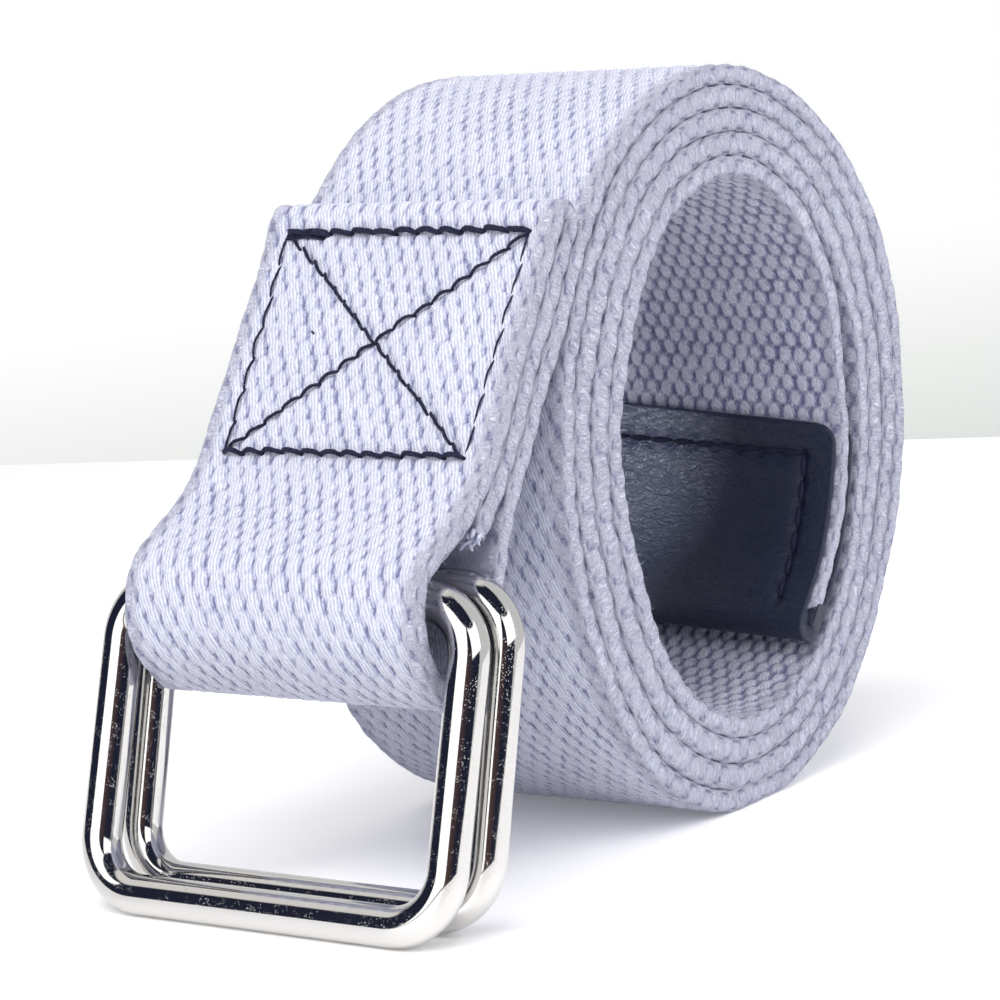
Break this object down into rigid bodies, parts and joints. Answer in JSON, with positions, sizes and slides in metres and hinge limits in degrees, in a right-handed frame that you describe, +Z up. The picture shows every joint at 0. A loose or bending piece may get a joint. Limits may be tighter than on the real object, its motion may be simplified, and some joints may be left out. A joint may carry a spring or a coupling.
{
  "type": "canvas belt",
  "caption": "Canvas webbing belt with rectangular rings in its stitched end and a leather tip on the other, rolled up and standing on its edge.",
  "frame": {"origin": "on the floor, under the middle of the bounding box", "axes": "+X along the strap's width, towards the open face that the picture shows; +Y from the rings to the back of the roll; +Z up"},
  "size_m": [0.0502, 0.1172, 0.0877],
  "materials": {
    "webbing": "coarse plain-woven cotton",
    "thread": "twisted sewing thread",
    "leather": "smooth, semi-gloss",
    "ring_metal": "polished nickel plate"
  },
  "bodies": {
    "strap": {"strap": "webbing", "leather_tip": "leather"},
    "ring_front": {"ring_front": "ring_metal"},
    "ring_back": {"ring_back": "ring_metal"}
  },
  "joints": [
    {"name": "ring_front_hinge", "type": "hinge", "parent": "strap", "child": "ring_front", "pos_m": [0, -0.04775, 0.03446], "axis": [-1, 0, 0], "range_deg": [0, 185]},
    {"name": "ring_back_hinge", "type": "hinge", "parent": "strap", "child": "ring_back", "pos_m": [0, -0.0423, 0.03469], "axis": [1, 0, 0], "range_deg": [0, 55]}
  ]
}
